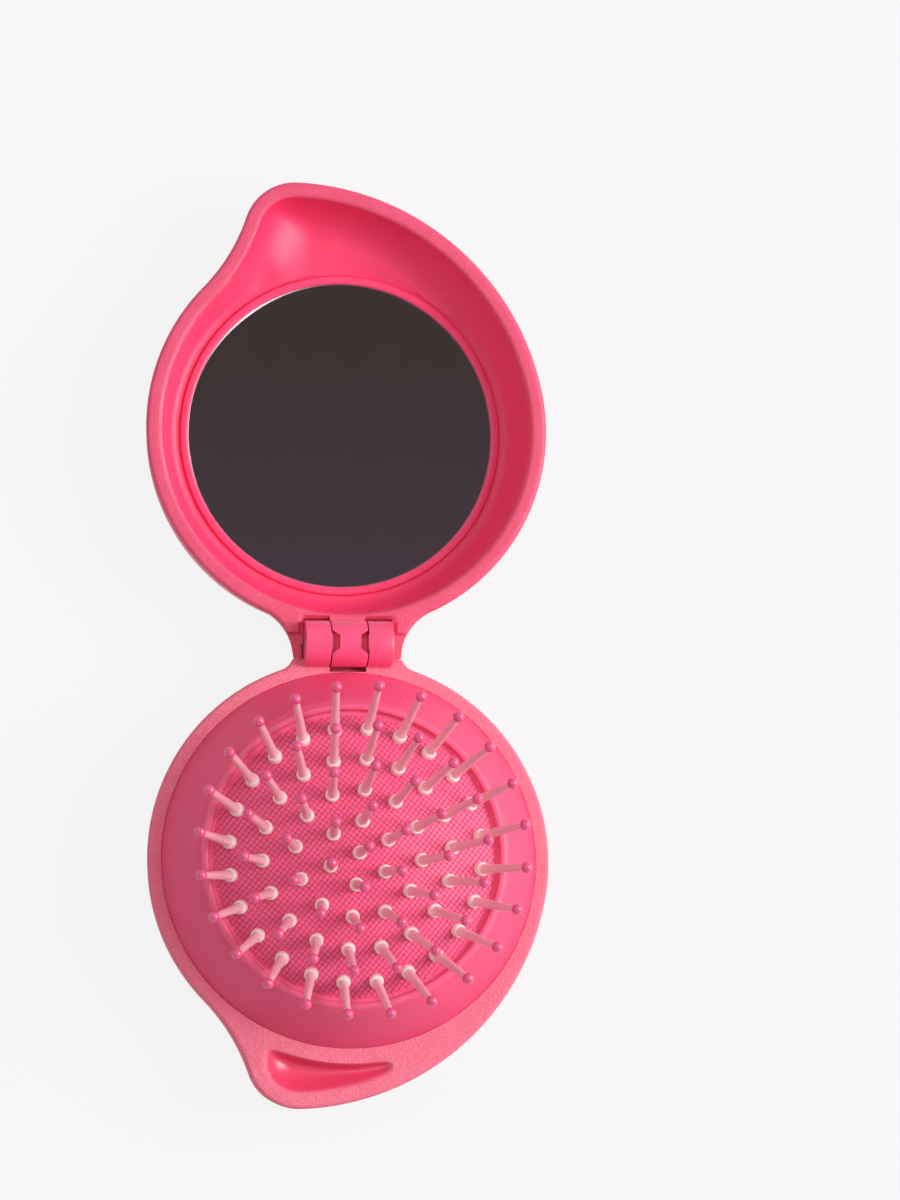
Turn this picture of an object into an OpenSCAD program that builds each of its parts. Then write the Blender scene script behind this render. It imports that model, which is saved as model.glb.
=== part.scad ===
// Folding hairbrush with mirror, open flat with its brush pad popped up.
// Millimetres, +Z up. The hinge axis lies along X above the origin, the lid opens towards +Y and
// the brush base lies towards -Y. Both backs stand on the plane Z = 0.

/* [Outline] */
// Radius of the round body, seen from above
body_r = 38.2; // [36:0.1:44]
// Radius of the long sweep that runs from the round body out to the tip
sweep_r = 49.4; // [46:0.1:54]
// Direction in which the sweep leaves the round body
sweep_a = 12; // [0:1:20]
// Radius of the rounded tip
tip_r = 10; // [7:0.1:12]
// Radius of the hollow curve that leads from the tip back to the round body
hook_r = 36; // [28:1:45]
// Direction in which the hollow curve meets the round body
hook_a = 135.7; // [130:0.1:142]

/* [Halves] */
// Depth of each half, from its back to the hinge axis
half_h = 17; // [16:0.1:22]
// Gap between the two rims when the brush is shut
rim_gap = 0.3; // [0.2:0.05:0.6]
// Height of the part above the seam of each half
rim_h = 3.45; // [3.2:0.05:5]
// Wall of the two shells
wall = 1.8; // [1.2:0.1:2.2]
// Floor of the two shells
floor_t = 1.8; // [1.2:0.1:2.2]
// Width of the rounded back edge
edge_w = 6; // [4:0.1:7]
// Height of the rounded back edge
edge_h = 8; // [5:0.1:10]
// Rounding of the rims
rim_round = 0.8; // [0.4:0.1:1.2]
// Thickness of the plate at each rim
plate_t = 2; // [1.6:0.1:2.4]

/* [Lid] */
// Width of the flat rim round the mirror dish
rim_w = 3; // [2.4:0.1:4]
// Thickness of the dish
dish_t = 1.4; // [1:0.1:1.8]
// Gap between the back of the dish and the shell's floor
dish_gap = 0.7; // [0.2:0.1:1]
// Width of the dish's slope from its rim to the ring round the mirror
dish_run = 4.5; // [3.8:0.1:8]
// Thickness of the mirror
mirror_t = 1.6; // [1.2:0.1:2]
// Bevel round the mirror's face
mirror_bevel = 0.25; // [0.1:0.05:0.5]
// Thickness of the adhesive pad behind the mirror
adhesive_t = 0.3; // [0.2:0.1:0.5]
// How far the adhesive pad stays inside the mirror's edge
adhesive_inset = 1.5; // [0.5:0.1:4]
// Radial gap round the mirror
mirror_gap = 0.2; // [0.1:0.05:0.4]
// Radial width of the ring round the mirror
bezel_w = 1.65; // [1:0.05:2]
// Height of that ring above the mirror's face
bezel_h = 0.8; // [0.4:0.1:1.2]

/* [Brush base] */
// How far the membrane's bead reaches under the base's frame
bead_w = 0.8; // [0.6:0.05:1.1]
// Wall round the well that the pad sinks into
well_wall = 1.2; // [1:0.1:1.5]
// Gap round the push button in the opening of the back
back_gap = 0.8; // [0.5:0.1:1.2]
// Depth of the thumb recess
recess_d = 2.8; // [2:0.1:3]
// Wall of the thumb recess
recess_wall = 0.7; // [0.5:0.05:0.75]
// Distance from the outline to the thumb recess
recess_inset = 2.6; // [2.4:0.1:3.2]
// Direction of the thumb recess's narrow end
recess_from = 77.5; // [74:0.5:84]
// Direction of the thumb recess's wide end
recess_to = 114.5; // [110:0.5:118]

/* [Hinge] */
// Radius of the hinge barrel
barrel_r = 4.4; // [4:0.1:4.8]
// Length of the hinge barrel
barrel_w = 16.8; // [15:0.1:17]
// Length of the middle knuckle, which belongs to the lid
middle_w = 6.6; // [5.6:0.1:7.6]
// Gap between neighbouring knuckles
knuckle_gap = 0.4; // [0.35:0.05:0.5]
// Radius of the hinge pin
pin_axle_r = 1; // [0.8:0.1:1.5]
// Radial clearance of the pin in the middle knuckle
pin_clearance = 0.05; // [0.02:0.01:0.1]
// Width of the lid's ears on both sides of the barrel
ear_w = 1.55; // [1.2:0.05:3]
// Depth of the neck below the hinge axis
neck_h = 9; // [7:0.1:11]
// Hollow corner between the lid's neck and its round body
lid_fillet = 9.7; // [8:0.1:12]
// Hollow corner between the base's neck and its round body
base_fillet = 3.2; // [2.5:0.1:5]
// How far the lid's ears reach past the hinge axis
ear_y = 2.55; // [2:0.05:3]
// How far the ears lie below the rim
ear_drop = 1.2; // [0.6:0.1:2]
// Height of the click ridges on the outer knuckles
ridge_h = 0.3; // [0.1:0.05:0.3]
// Depth of the click notches in the middle knuckle
notch_d = 1; // [0.5:0.1:1.4]
// Length of the click notches across the barrel
notch_l = 4.2; // [3:0.1:5]
// Clearance round the barrel
barrel_gap = 0.5; // [0.3:0.05:0.7]
// Web between the barrel's slot and the pad's opening
slot_web = 0.5; // [0.3:0.1:3]

/* [Pad] */
// Height of the pad's rim above the base's rim when it is popped up
lip_up = 9; // [8:0.1:10]
// Width of the cone between the frame's opening and the pad's rim
cone_run = 6.5; // [5.5:0.1:8]
// Radial width of the pad's rim
lip_w = 1.5; // [1.2:0.05:1.8]
// Rounding on top of the pad's rim
lip_round = 0.5; // [0.2:0.05:0.6]
// Depth of the cushion's edge below the rim's top
cushion_drop = 1.5; // [1:0.1:1.6]
// Radius of the cushion's dome
dome_r = 49; // [47:0.5:60]
// Gap between the pad's rim and the foot of the dome
dome_gap = 0.7; // [0.5:0.1:2]
// Thickness of the cushion
cushion_t = 1.2; // [0.8:0.1:1.2]
// Thickness of the cushion's flange
flange_t = 1; // [0.8:0.1:1]
// Thickness of the carrier disc
carrier_t = 1.4; // [1:0.1:1.4]
// Thickness of the push button in the back
button_t = 1.15; // [1:0.05:1.2]
// Depth of the hollow in the push button
button_hollow = 0.5; // [0.2:0.1:0.6]
// Radius of that hollow
button_hollow_r = 18; // [12:0.5:22]
// Thickness of the pop-up membrane
membrane_t = 1; // [0.6:0.1:1.2]
// Thickness of the membrane's outer bead
bead_t = 1; // [0.8:0.1:1.2]

/* [Pins] */
// Distance from the outermost ring of pins to the foot of the dome
pin_edge = 3.18; // [2.8:0.02:6]
// Direction of the first pin in every ring
pin_phase = 24.3; // [0:0.1:60]
// Extra tilt of the outermost ring
pin_flare = 2.5; // [0:0.5:2.5]
// Distance from the cushion to the middle of the ball tip
pin_l = 14.3; // [12:0.1:14.3]
// Radius of a pin's collar
collar_r = 1.27; // [1.15:0.01:1.4]
// Height of a pin's collar
collar_h = 1.3; // [0.8:0.1:1.8]
// Height of the slope on top of the collar
collar_slope = 0.3; // [0.1:0.05:0.5]
// Radius of a pin above its collar
pin_root_r = 0.92; // [0.8:0.01:1]
// Radius of a pin below its ball tip
pin_end_r = 0.62; // [0.55:0.01:0.7]
// Radius of a pin where it passes through the cushion
pin_neck_r = 1; // [0.8:0.05:1.1]
// Radius of a pin's head under the cushion
head_r = 1.6; // [1.3:0.05:1.7]
// Thickness of a pin's head
head_t = 0.8; // [0.5:0.1:0.9]
// Radius of a ball tip
ball_r = 1.07; // [0.95:0.01:1.2]
// Height of the flat cut off a ball where it sits on its pin
ball_flat = 0.21; // [0.19:0.01:0.3]

/* [Hidden] */
hinge_z = half_h;
rim_z = half_h - rim_gap / 2;
seam_z = rim_z - rim_h;
plate_z = rim_z - plate_t;
clear = 0.1;
pin_rings = 4;
grow = 0.5;
fine = 96;
medium = 48;

// the hinge, seen from its middle, and the middle of each round body
middle_x = middle_w / 2;
outer_x = middle_x + knuckle_gap;
barrel_x = barrel_w / 2;
ear_x = barrel_x + knuckle_gap;
neck_w = 2 * (ear_x + ear_w);
neck_z = hinge_z - neck_h;
slot_x = middle_x + knuckle_gap / 2;
slot_y = barrel_r + barrel_gap;
hollow_r = body_r - wall;
opening_r = hollow_r - bead_w;
body_y = opening_r + slot_web + slot_y;

// the outline's arcs, with the round body's middle at the origin and the tip towards +Y
function toward(a) = [cos(a), sin(a)];
sweep_c = -(sweep_r - body_r) * toward(sweep_a);
hook_c = (body_r + hook_r) * toward(hook_a);
hook_span = norm(hook_c - sweep_c);
hook_dir = (hook_c - sweep_c) / hook_span;
tip_along = (pow(sweep_r - tip_r, 2) - pow(hook_r + tip_r, 2) + pow(hook_span, 2)) / (2 * hook_span);
tip_aside = sqrt(pow(sweep_r - tip_r, 2) - pow(tip_along, 2));
tip_c = sweep_c + hook_dir * tip_along + [hook_dir.y, -hook_dir.x] * tip_aside;
sweep_to_tip = (tip_c - sweep_c) / norm(tip_c - sweep_c);
hook_to_tip = (tip_c - hook_c) / norm(tip_c - hook_c);
function polar_angle(p) = atan2(p.y, p.x);
function sweep_end(inset) = polar_angle(sweep_c + sweep_to_tip * (sweep_r - inset));
function tip_end(inset) = polar_angle(hook_c + hook_to_tip * (hook_r + inset));

// distance from the origin, in direction a, to the near or far side of a circle
function circle_hit(c, r, a, side) =
    let (along = toward(a) * c)
    along + side * sqrt(max(0, along * along - c * c + r * r));

// distance from the body's middle to its outline, set in by inset
function outline_r(a, inset) =
    a <= sweep_a || a >= hook_a ? body_r - inset :
    a < sweep_end(inset) ? circle_hit(sweep_c, sweep_r - inset, a, 1) :
    a < tip_end(inset) ? circle_hit(tip_c, tip_r - inset, a, 1) :
    circle_hit(hook_c, hook_r + inset, a, -1);

// directions at which the outline is sampled, closer together round the tip
tip_from = 95;
tip_to = 132.5;
outline_a = [for (a = [-90 : 5 : tip_from - 5]) a,
             for (a = [tip_from : 2.5 : tip_to]) a,
             for (a = [tip_to + 2.5 : 5 : 265]) a];

function outline_ring(inset, z) =
    [for (a = outline_a) [for (v = outline_r(a, inset) * toward(a)) v, z]];

// a ring part of the way from the outline, set in by inset, to a circle
function mixed_ring(inset, r, part, z) =
    [for (a = outline_a)
        [for (v = (outline_r(a, inset) * (1 - part) + r * part) * toward(a)) v, z]];

function round_ring(r, z) = mixed_ring(0, r, 1, z);

// a solid through a list of rings of equal length, closed by a flat face on the first and last
module loft(rings) {
    n = len(rings[0]);
    last = len(rings) - 1;
    polyhedron(
        points = [for (ring = rings) each ring],
        faces = [
            [for (i = [0 : n - 1]) i],
            for (j = [0 : last - 1], i = [0 : n - 1]) each
                let (a = j * n + i, b = j * n + (i + 1) % n)
                [[a, a + n, b + n], [a, b + n, b]],
            [for (i = [0 : n - 1]) last * n + n - 1 - i]
        ],
        convexity = 8);
}

module ring_solid(r_out, r_in, z_low, z_high) {
    translate([0, 0, z_low])
    difference() {
        cylinder(h = z_high - z_low, r = r_out, $fn = fine);
        translate([0, 0, -grow]) cylinder(h = z_high - z_low + 2 * grow, r = r_in, $fn = fine);
    }
}

module in_lid() translate([0, body_y, 0]) children();
module in_base() mirror([0, 1, 0]) in_lid() children();

edge_steps = [0 : 18 : 90];
round_steps = [0 : 30 : 90];

// outer rings of a back shell, from its back up to its rounded edge
function back_rings(inset) =
    [for (f = edge_steps) outline_ring(inset + edge_w * (1 - sin(f)), inset + edge_h * (1 - cos(f)))];

// back shell: a tub with a rounded back edge that follows the outline
module tub() {
    hollow_w = edge_w - floor_t / 2;
    loft([
        each back_rings(0),
        outline_ring(0, seam_z),
        outline_ring(wall, seam_z),
        for (f = edge_steps) outline_ring(
            wall + hollow_w * (1 - cos(f)),
            floor_t + (edge_h - floor_t) * (1 - sin(f)))
    ]);
}

// rings of a rim's rounded outer edge, from the seam up to the rim's flat
function rim_rings() =
    [outline_ring(0, seam_z),
     for (f = round_steps) outline_ring(rim_round * (1 - cos(f)), rim_z - rim_round * (1 - sin(f)))];

// neck between a round body and the hinge, seen from above, with the body's middle at the origin
module neck_outline(fillet, start_y) {
    corner_x = neck_w / 2 + fillet;
    corner_y = sqrt(pow(body_r + fillet, 2) - pow(corner_x, 2));
    share = body_r / (body_r + fillet);
    bottom = start_y - body_y;
    difference() {
        translate([-corner_x, bottom]) square([2 * corner_x, -corner_y * share - bottom]);
        for (side = [-1, 1]) {
            translate([side * corner_x, -corner_y]) circle(r = fillet, $fn = fine);
            translate([side * corner_x, -corner_y - fillet])
                square(2 * fillet, center = true);
        }
    }
}

// the neck as a solid that meets its round body above the seam only
module neck(fillet, start_y, inner_r) {
    difference() {
        translate([0, 0, neck_z])
            linear_extrude(height = rim_z - neck_z) neck_outline(fillet, start_y);
        cylinder(h = seam_z, r = body_r, $fn = fine);
        cylinder(h = 2 * half_h, r = inner_r, $fn = fine);
    }
}

// a length of the hinge barrel along X
module barrel(from_x, to_x, r) {
    translate([from_x, 0, hinge_z])
        rotate([0, 90, 0]) cylinder(h = to_x - from_x, r = r, $fn = medium);
}

// a box given by its two corners
module block(low, high) {
    translate(low) cube(high - low);
}

// the arm that joins a knuckle to its half, clear of the back shell
module arm(from_x, to_x, end_y) {
    difference() {
        block([from_x, 0, neck_z], [to_x, end_y, rim_z]);
        in_lid() cylinder(h = seam_z, r = body_r, $fn = fine);
    }
}

// a tapered key across the top of the barrel, standing on the plane at x and pointing along +X
module click_key(x, height, length) {
    flank = height / 2;
    translate([x, 0, hinge_z + barrel_r / 2])
        linear_extrude(height = barrel_r)
            polygon([[-clear, -length / 2], [0, -length / 2], [height, flank - length / 2],
                     [height, length / 2 - flank], [0, length / 2], [-clear, length / 2]]);
}

above_z = 2 * half_h;

/* ---- lid ---- */

dish_r = body_r - rim_w - dish_run;
bezel_out_r = dish_r - clear;
bezel_in_r = bezel_out_r - bezel_w;
mirror_r = bezel_in_r - mirror_gap;
dish_back_z = floor_t + dish_gap;
seat_z = dish_back_z + dish_t;
mirror_back_z = seat_z + adhesive_t;
mirror_z = mirror_back_z + mirror_t;
dish_end_z = mirror_z + bezel_h / 2;

module lid_shell() {
    color("#ef5a80") in_lid() tub();
}

// front of the lid: its rim, the smooth dish inside it and the seat for the mirror
module dish() {
    dish_top_z = rim_z - rim_round;
    loft([
        for (f = [90 : -15 : 0]) mixed_ring(wall + clear, dish_r + dish_t, 1 - cos(f),
            seam_z - (seam_z - dish_back_z) * sin(f)),
        each rim_rings(),
        for (f = [90 : -30 : 0]) outline_ring(rim_w - rim_round * (1 - cos(f)),
            rim_z - rim_round * (1 - sin(f))),
        for (f = [15 : 15 : 90]) mixed_ring(rim_w, dish_r, 1 - cos(f),
            dish_top_z - (dish_top_z - dish_end_z) * sin(f)),
        round_ring(dish_r, seat_z)
    ]);
}

module lid_liner() {
    color("#f6567d")
    difference() {
        union() {
            in_lid() dish();
            difference() {
                in_lid() neck(lid_fillet, -ear_y, body_r - rim_round - clear);
                block([-ear_x, -barrel_r, 0], [ear_x, 0, above_z]);
                for (side = [-1, 1])
                    translate([side * (middle_x + ear_x) / 2 - (ear_x - middle_x) / 2, -barrel_r, 0])
                        cube([ear_x - middle_x, barrel_r + slot_y, above_z]);
                block([-neck_w, -barrel_r, rim_z - ear_drop], [neck_w, ear_y - knuckle_gap, above_z]);
            }
            arm(-middle_x, middle_x, slot_y + clear);
            barrel(-middle_x, middle_x, barrel_r);
        }
        barrel(-barrel_x, barrel_x, pin_axle_r + pin_clearance);
        for (side = [0, 1]) mirror([side, 0, 0]) {
            mirror([1, 0, 0]) click_key(-middle_x, notch_d, notch_l);
            barrel(middle_x, ear_x, slot_y);
        }
    }
}

module mirror_bezel() {
    round_r = bezel_w / 4;
    color("#ee4f78") in_lid() rotate_extrude($fn = fine) {
        difference() {
            translate([bezel_in_r, seat_z]) square([bezel_w, mirror_z + bezel_h - seat_z]);
            for (x = [bezel_in_r, bezel_out_r])
                translate([x, mirror_z + bezel_h]) rotate(45) square(2 * round_r, center = true);
        }
    }
}

module mirror_glass() {
    color("#3c3536") in_lid() rotate_extrude($fn = fine)
        polygon([[0, mirror_back_z], [mirror_r, mirror_back_z], [mirror_r, mirror_z - mirror_bevel],
                 [mirror_r - mirror_bevel, mirror_z], [0, mirror_z]]);
}

module mirror_adhesive() {
    color("#e8e2da") in_lid() translate([0, 0, seat_z])
        cylinder(h = adhesive_t, r = mirror_r - adhesive_inset, $fn = fine);
}

/* ---- base ---- */

bead_z = plate_z - bead_t;
well_r = hollow_r - well_wall;
lip_r = opening_r - cone_run;
button_r = lip_r - clear;
back_r = button_r + back_gap;
base_neck_y = ear_y + rim_gap;

module base_shell() {
    color("#ef5a80") in_base()
    difference() {
        union() {
            tub();
            intersection() {
                ring_solid(hollow_r + wall / 4, well_r, floor_t / 2, seam_z);
                loft([each back_rings(floor_t / 3), outline_ring(floor_t / 3, seam_z + grow)]);
            }
            ring_solid(hollow_r - clear, well_r, seam_z - grow, bead_z);
        }
        translate([0, 0, -grow]) cylinder(h = floor_t + 2 * grow, r = back_r, $fn = fine);
    }
}

recess_mid = (recess_from + recess_to) / 2;
recess_half = (recess_to - recess_from) / 2;
recess_in_r = body_r + rim_round / 4;
recess_blunt = 1.02;
recess_stops = [1, 0.97, 0.9, 0.78, 0.6, 0.35, 0.1, -0.15, -0.4, -0.62, -0.78, -0.9, -0.97, -1];
recess_section = [[-1, 0], [-0.92, -0.42], [-0.68, -0.82], [-0.3, -0.98],
                  [0.3, -0.98], [0.68, -0.82], [0.92, -0.42], [1, 0]];

// thumb recess as a solid: a trough along the crescent between the round body and the outline,
// grown all round by more, with its brim at brim_z and its flat top a little higher at top_z
module trough(more, brim_z, top_z) {
    loft([for (u = recess_stops)
        let (a = recess_mid + recess_half * u,
             full = sqrt(recess_blunt - pow(u, 4)),
             middle = (recess_in_r + outline_r(a, recess_inset)) / 2,
             half_w = (outline_r(a, recess_inset) - recess_in_r) / 2 * full + more,
             deep = recess_d * full + more)
        [[for (v = (middle - half_w) * toward(a)) v, top_z],
         for (p = recess_section)
            [for (v = (middle + p.x * half_w) * toward(a)) v, brim_z + p.y * deep],
         [for (v = (middle + half_w) * toward(a)) v, top_z]]
    ]);
}

// base's textured frame: a plate over the whole outline with the pad's opening, the neck,
// the two outer knuckles and the thumb recess
module base_frame() {
    color("#f7708f") in_frame()
    difference() {
        union() {
            in_lid()
                loft([outline_ring(wall, plate_z), outline_ring(wall, seam_z), each rim_rings()]);
            in_lid() trough(recess_wall, rim_z - 2 * clear, rim_z - clear);
            difference() {
                in_lid() neck(base_fillet, base_neck_y, body_r - rim_round - clear);
                block([-slot_x, 0, 0], [slot_x, slot_y, above_z]);
            }
            for (side = [0, 1]) mirror([side, 0, 0]) {
                barrel(outer_x, barrel_x, barrel_r);
                arm(outer_x, barrel_x, base_neck_y + clear);
                intersection() {
                    mirror([1, 0, 0]) click_key(-outer_x, ridge_h, notch_l - 2 * ridge_h);
                    barrel(0, barrel_x, barrel_r);
                }
            }
        }
        in_lid() cylinder(h = above_z, r = opening_r, $fn = fine);
        barrel(-slot_x, slot_x, slot_y);
        in_lid() trough(0, rim_z, rim_z + grow);
        barrel(-barrel_w, barrel_w, pin_axle_r);
    }
}
module in_frame() mirror([0, 1, 0]) children();

module hinge_pin() {
    chamfer = pin_axle_r / 5;
    length = barrel_w - 2 * clear;
    color("silver") translate([-length / 2, 0, hinge_z]) rotate([0, 90, 0])
        rotate_extrude($fn = medium)
            polygon([[0, 0], [pin_axle_r - chamfer, 0], [pin_axle_r, chamfer],
                     [pin_axle_r, length - chamfer], [pin_axle_r - chamfer, length], [0, length]]);
}

/* ---- pad, popped up ---- */

lip_z = rim_z + lip_up;
lip_in_r = lip_r - lip_w;
groove_r = lip_in_r + lip_w / 5;
flange_r = groove_r - clear;
dome_edge_r = lip_in_r - dome_gap;
pin_pitch = (dome_edge_r - pin_edge) / pin_rings;
cushion_z = lip_z - cushion_drop;
carrier_top_z = cushion_z - flange_t;
carrier_z = carrier_top_z - carrier_t;
dome_z = cushion_z - sqrt(pow(dome_r, 2) - pow(dome_edge_r, 2));
flange_in_r = sqrt(pow(dome_r - cushion_t, 2) - pow(carrier_top_z - dome_z, 2));

module in_pad() translate([0, -body_y, 0]) children();

// thin cone that lets the pad pop up or sink, with a bead held between frame and shell
module pop_membrane() {
    foot_r = opening_r - 2 * clear;
    top_z = lip_z - lip_round - 2 * clear;
    top_r = lip_r + membrane_t / 2;
    run = foot_r - top_r;
    rise = top_z - plate_z;
    slant = norm([run, rise]);
    inner_foot = [foot_r - membrane_t * rise / slant, plate_z - membrane_t * run / slant];
    inner_top_z = inner_foot.y + (inner_foot.x - lip_r) * rise / run;
    color("#ee4b76") in_pad() rotate_extrude($fn = fine)
        polygon([[hollow_r - clear, bead_z], [hollow_r - clear, plate_z], [foot_r, plate_z],
                 [top_r, top_z], [lip_r, top_z], [lip_r, inner_top_z],
                 inner_foot, [inner_foot.x, bead_z]]);
}

module pad_rim() {
    color("#f4668a") in_pad() rotate_extrude($fn = fine) {
        difference() {
            translate([lip_in_r, carrier_z]) square([lip_w, lip_z - carrier_z]);
            translate([lip_in_r - clear, carrier_z - clear])
                square([groove_r - lip_in_r + clear, cushion_z - carrier_z + clear]);
            for (x = [lip_in_r, lip_r])
                translate([x, lip_z]) rotate(45)
                    square(lip_round, center = true);
        }
    }
}

// the shank of a pin where it crosses the cushion, on the pin's own axis from the cushion's surface
module pin_crossing() {
    translate([0, 0, -cushion_t - grow])
        cylinder(h = cushion_t + 2 * grow, r = pin_neck_r, $fn = medium);
}

module cushion() {
    color("#f0598a")
    difference() {
        in_pad() difference() {
            union() {
                intersection() {
                    translate([0, 0, dome_z]) sphere(r = dome_r, $fn = fine);
                    translate([0, 0, carrier_top_z])
                        cylinder(h = dome_r, r = dome_edge_r, $fn = fine);
                }
                translate([0, 0, carrier_top_z]) cylinder(h = flange_t, r = flange_r, $fn = fine);
            }
            translate([0, 0, dome_z]) sphere(r = dome_r - cushion_t, $fn = fine);
        }
        for (ring = [0 : pin_rings]) on_ring(ring) pin_crossing();
    }
}

module carrier_disc() {
    color("#f6e9e4") in_pad() translate([0, 0, carrier_z])
        cylinder(h = carrier_t, r = flange_r, $fn = fine);
}

module push_button() {
    chamfer = button_t / 3;
    low_z = carrier_z - button_t;
    color("#f6567d") in_pad() rotate_extrude($fn = fine)
        polygon([[0, low_z + button_hollow], [button_hollow_r, low_z + button_hollow],
                 [button_hollow_r + 2 * button_hollow, low_z], [button_r - chamfer, low_z],
                 [button_r, low_z + chamfer], [button_r, carrier_z], [0, carrier_z]]);
}

// places its children at every pin of a ring, with the pin's axis along +Z and Z = 0 on the cushion
module on_ring(ring) {
    count = max(1, 6 * ring);
    ring_r = pin_pitch * ring;
    tilt = asin(ring_r / dome_r) + pin_flare * pow(ring / pin_rings, 4);
    for (i = [0 : count - 1])
        in_pad() rotate([0, 0, pin_phase + 360 * i / count])
            translate([ring_r, 0, dome_z + sqrt(pow(dome_r, 2) - pow(ring_r, 2))])
                rotate([0, tilt, 0]) children();
}

// every collar stands a hair above the cushion, and every ball is pressed on a thinner plug
seat_gap = 0.06;
plug_r = pin_end_r - clear;
ball_seat_z = pin_l - ball_r + ball_flat;

module pin() {
    low = -cushion_t - clear;
    rotate_extrude($fn = medium)
        polygon([[0, low - head_t], [head_r, low - head_t], [head_r, low], [pin_neck_r, low],
                 [pin_neck_r, seat_gap], [collar_r, seat_gap], [collar_r, collar_h - collar_slope],
                 [pin_root_r + clear, collar_h], [pin_root_r, collar_h],
                 [pin_end_r, ball_seat_z], [plug_r, ball_seat_z],
                 [plug_r, pin_l], [0, pin_l]]);
}

module ball_tip() {
    difference() {
        translate([0, 0, pin_l]) sphere(r = ball_r, $fn = medium);
        translate([0, 0, pin_l - 2 * ball_r]) {
            cylinder(h = 2 * ball_r, r = plug_r, $fn = medium);
            cylinder(h = ball_r + ball_flat, r = ball_r + clear, $fn = medium);
        }
    }
}

module pins(ring) {
    color("#f3cdd0") on_ring(ring) pin();
}

module tips(ring) {
    color("#f56fa8") on_ring(ring) ball_tip();
}

base_shell();
base_frame();
pop_membrane();
hinge_pin();
lid_shell();
lid_liner();
mirror_bezel();
mirror_glass();
mirror_adhesive();
pad_rim();
cushion();
carrier_disc();
push_button();
pins(0);  // pin_middle
pins(1);  // pins_ring_1
pins(2);  // pins_ring_2
pins(3);  // pins_ring_3
pins(4);  // pins_ring_4
tips(0);  // tip_middle
tips(1);  // tips_ring_1
tips(2);  // tips_ring_2
tips(3);  // tips_ring_3
tips(4);  // tips_ring_4
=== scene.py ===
# Folding hairbrush with a mirror in its lid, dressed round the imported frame. The pieces' sizes are
# in millimetres and turn into metres where the meshes are made. The studio and the view are in metres.
import math
from functools import partial

import bmesh
import bpy
from mathutils import Matrix, Vector


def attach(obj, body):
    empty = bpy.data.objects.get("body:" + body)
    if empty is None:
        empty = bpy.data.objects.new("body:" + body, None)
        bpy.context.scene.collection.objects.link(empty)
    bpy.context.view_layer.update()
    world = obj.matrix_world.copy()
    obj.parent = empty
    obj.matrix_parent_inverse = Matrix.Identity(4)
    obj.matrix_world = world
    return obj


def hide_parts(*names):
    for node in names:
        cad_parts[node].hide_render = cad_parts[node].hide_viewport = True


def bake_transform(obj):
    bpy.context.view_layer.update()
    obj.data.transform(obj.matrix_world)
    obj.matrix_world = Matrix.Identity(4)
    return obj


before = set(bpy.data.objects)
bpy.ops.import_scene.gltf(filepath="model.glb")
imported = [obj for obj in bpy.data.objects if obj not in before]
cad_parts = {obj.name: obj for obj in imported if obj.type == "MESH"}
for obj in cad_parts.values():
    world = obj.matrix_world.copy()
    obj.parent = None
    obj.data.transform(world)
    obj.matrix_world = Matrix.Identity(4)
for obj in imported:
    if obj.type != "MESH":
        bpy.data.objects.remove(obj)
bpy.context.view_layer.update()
mm = 0.001
hair = 0.02  # keeps points and faces apart that would otherwise meet

case = {
    "bodyR": 38.2, "bodyY": 41.0, "sweepR": 49.4, "sweepAngle": 12.0, "tipR": 10.0,
    "hookR": 36.0, "hookAngle": 135.7, "recessFrom": 77.5, "recessTo": 114.5,
    "hingeZ": 17.0, "rimZ": 16.85, "plateZ": 14.85, "seamZ": 13.4, "seamEdge": 0.15,
    "wall": 1.8, "floor": 1.8, "edgeW": 6.0, "edgeH": 8.0, "rimEdge": 0.8,
    "neckHalf": 10.35, "neckZ": 8.0, "neckEdge": 0.35, "neckRay": 0.3, "draft": 0.13,
}


# outline of a half, from the middle of its round body, with the tip towards +Y

def toward(angle):
    return Vector((math.cos(math.radians(angle)), math.sin(math.radians(angle))))


def polarAngle(point):
    return math.degrees(math.atan2(point.y, point.x))


sweepC = toward(case["sweepAngle"]) * (case["bodyR"] - case["sweepR"])
hookC = toward(case["hookAngle"]) * (case["bodyR"] + case["hookR"])
hookSpan = (hookC - sweepC).length
hookDir = (hookC - sweepC) / hookSpan
sweepLeft = case["sweepR"] - case["tipR"]
tipAlong = (sweepLeft ** 2 - (case["hookR"] + case["tipR"]) ** 2 + hookSpan ** 2) / (2 * hookSpan)
tipAside = math.sqrt(sweepLeft ** 2 - tipAlong ** 2)
tipC = sweepC + hookDir * tipAlong + Vector((hookDir.y, -hookDir.x)) * tipAside
sweepToTip = (tipC - sweepC).normalized()
hookToTip = (tipC - hookC).normalized()


def circleHit(centre, radius, angle, side):
    along = toward(angle).dot(centre)
    return along + side * math.sqrt(max(0.0, along ** 2 - centre.length_squared + radius ** 2))


def bodyReach(angle, inset):
    # distance from the middle to the outline, set in by inset
    if angle <= case["sweepAngle"] or angle >= case["hookAngle"]:
        return case["bodyR"] - inset
    if angle < polarAngle(sweepC + sweepToTip * (case["sweepR"] - inset)):
        return circleHit(sweepC, case["sweepR"] - inset, angle, 1)
    if angle < polarAngle(hookC + hookToTip * (case["hookR"] + inset)):
        return circleHit(tipC, case["tipR"] - inset, angle, 1)
    return circleHit(hookC, case["hookR"] + inset, angle, -1)


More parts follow.
